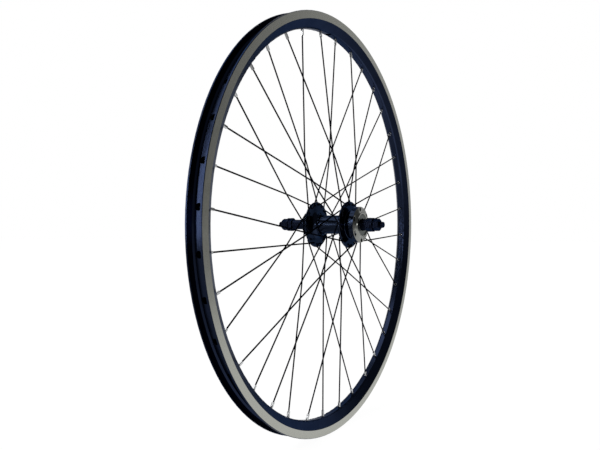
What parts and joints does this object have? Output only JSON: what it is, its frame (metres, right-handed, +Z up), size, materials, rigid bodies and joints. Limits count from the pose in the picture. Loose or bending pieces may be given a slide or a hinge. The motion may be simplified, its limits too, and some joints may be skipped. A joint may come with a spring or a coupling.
{
  "type": "bicycle wheel",
  "caption": "Rear bicycle wheel: hollow black rim with machined brake tracks, crossed wire spokes, and a flanged hub with a brake rotor mount, freewheel thread and nutted axle on ball bearings.",
  "frame": {"origin": "middle of the wheel: the rim's middle plane on the axle's axis", "axes": "+Y along the axle to the disc side, the rider's left; +X forward; +Z up"},
  "size_m": [0.5959, 0.171, 0.596],
  "materials": {
    "rim_black": "satin black anodised, with bright machined brake tracks",
    "spoke_black": "black oxide wire",
    "nipple_plated": "bright nickel plate",
    "hub_black": "black anodised, with a machined silver rotor face",
    "bearing_steel": "hardened and ground",
    "cap_steel": "pressed zinc-plated steel",
    "axle_black": "black zinc"
  },
  "bodies": {
    "axle_set": {"axle": "axle_black", "axle_spacer": "axle_black", "cone_disc": "axle_black", "cone_drive": "axle_black", "lock_washer_disc": "axle_black", "lock_washer_drive": "axle_black", "lock_nut_disc": "axle_black", "lock_nut_drive": "axle_black", "axle_washer_disc": "axle_black", "axle_washer_drive": "axle_black", "axle_nut_disc": "axle_black", "axle_nut_drive": "axle_black"},
    "wheel": {"rim": "rim_black", "nipples": "nipple_plated", "hub_shell": "hub_black", "spoke_01": "spoke_black", "spoke_02": "spoke_black", "spoke_03": "spoke_black", "spoke_04": "spoke_black", "spoke_05": "spoke_black", "spoke_06": "spoke_black", "spoke_07": "spoke_black", "spoke_08": "spoke_black", "spoke_09": "spoke_black", "spoke_10": "spoke_black", "spoke_11": "spoke_black", "spoke_12": "spoke_black", "spoke_13": "spoke_black", "spoke_14": "spoke_black", "spoke_15": "spoke_black", "spoke_16": "spoke_black", "spoke_17": "spoke_black", "spoke_18": "spoke_black", "spoke_19": "spoke_black", "spoke_20": "spoke_black", "spoke_21": "spoke_black", "spoke_22": "spoke_black", "spoke_23": "spoke_black", "spoke_24": "spoke_black", "spoke_25": "spoke_black", "spoke_26": "spoke_black", "spoke_27": "spoke_black", "spoke_28": "spoke_black", "spoke_29": "spoke_black", "spoke_30": "spoke_black", "spoke_31": "spoke_black", "spoke_32": "spoke_black", "spoke_33": "spoke_black", "spoke_34": "spoke_black", "spoke_35": "spoke_black", "spoke_36": "spoke_black", "bearing_cup_disc": "bearing_steel", "bearing_cup_drive": "bearing_steel", "dust_cap_disc": "cap_steel", "dust_cap_drive": "cap_steel"},
    "disc_ball_set": {"bearing_balls_disc": "bearing_steel", "ball_retainer_disc": "bearing_steel"},
    "drive_ball_set": {"bearing_balls_drive": "bearing_steel", "ball_retainer_drive": "bearing_steel"}
  },
  "joints": [
    {"name": "wheel_spin", "type": "hinge", "parent": "axle_set", "child": "wheel", "pos_m": [0, 0, 0], "axis": [0, 1, 0], "continuous": true},
    {"name": "disc_ball_spin", "type": "hinge", "parent": "axle_set", "child": "disc_ball_set", "pos_m": [0, 0.045, 0], "axis": [0, 1, 0], "continuous": true},
    {"name": "drive_ball_spin", "type": "hinge", "parent": "axle_set", "child": "drive_ball_set", "pos_m": [0, -0.028, 0], "axis": [0, 1, 0], "continuous": true}
  ],
  "couplings": [
    {"joint": "disc_ball_spin", "follows": "wheel_spin", "ratio": 0.6111},
    {"joint": "drive_ball_spin", "follows": "wheel_spin", "ratio": 0.6111}
  ]
}
